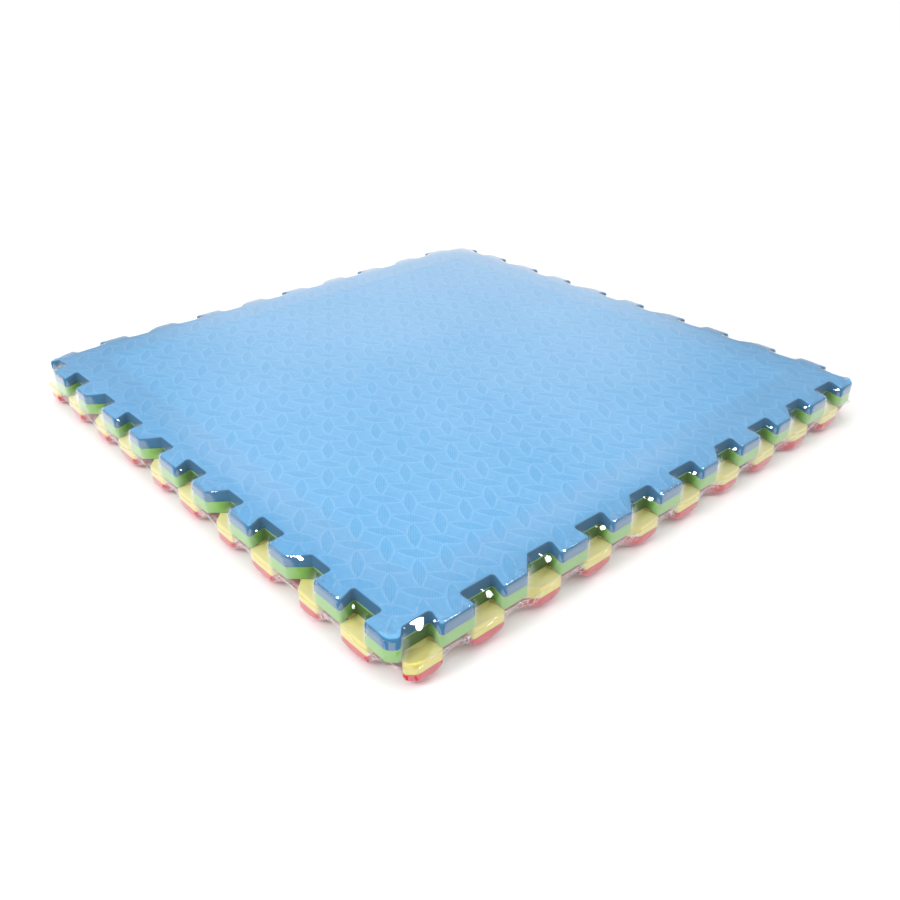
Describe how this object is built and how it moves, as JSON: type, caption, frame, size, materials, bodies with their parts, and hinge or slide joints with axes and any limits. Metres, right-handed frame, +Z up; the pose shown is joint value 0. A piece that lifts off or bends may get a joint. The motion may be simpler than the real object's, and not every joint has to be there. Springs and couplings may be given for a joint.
{
  "type": "pack of interlocking blocking mats",
  "caption": "Square interlocking foam mats for pinning out knitting, stacked flat and sealed in tight clear shrink film.",
  "frame": {"origin": "centre of the pack's flat base, on the floor it rests on", "axes": "+Z up through the stack; X and Y along the mats' edges, alike by the mats' quarter-turn symmetry"},
  "size_m": [0.6186, 0.6186, 0.0486],
  "materials": {
    "foam_blue": "closed-cell EVA foam, light blue, leaf-embossed face",
    "foam_green": "closed-cell EVA foam, leaf green, leaf-embossed face",
    "foam_yellow": "closed-cell EVA foam, pale yellow, leaf-embossed face",
    "foam_red": "closed-cell EVA foam, coral red, leaf-embossed face",
    "clear_film": "clear glossy polyolefin shrink film",
    "film_weld": "clear glossy polyolefin, melted into a thin bead"
  },
  "bodies": {
    "wrap_base": {"film_base": "clear_film", "film_lower_sides": "clear_film", "film_seal_bead": "film_weld"},
    "red_mat": {"mat_red": "foam_red"},
    "yellow_mat": {"mat_yellow": "foam_yellow"},
    "green_mat": {"mat_green": "foam_green"},
    "blue_mat": {"mat_blue": "foam_blue"},
    "wrap_top": {"film_top": "clear_film"}
  },
  "joints": [
    {"name": "lift_red", "type": "slide", "parent": "wrap_base", "child": "red_mat", "axis": [0, 0, 1], "range_m": [0, 0.06]},
    {"name": "lift_yellow", "type": "slide", "parent": "red_mat", "child": "yellow_mat", "axis": [0, 0, 1], "range_m": [0, 0.06]},
    {"name": "lift_green", "type": "slide", "parent": "yellow_mat", "child": "green_mat", "axis": [0, 0, 1], "range_m": [0, 0.06]},
    {"name": "lift_blue", "type": "slide", "parent": "green_mat", "child": "blue_mat", "axis": [0, 0, 1], "range_m": [0, 0.06]},
    {"name": "lift_wrap_top", "type": "slide", "parent": "blue_mat", "child": "wrap_top", "axis": [0, 0, 1], "range_m": [0, 0.06]}
  ]
}
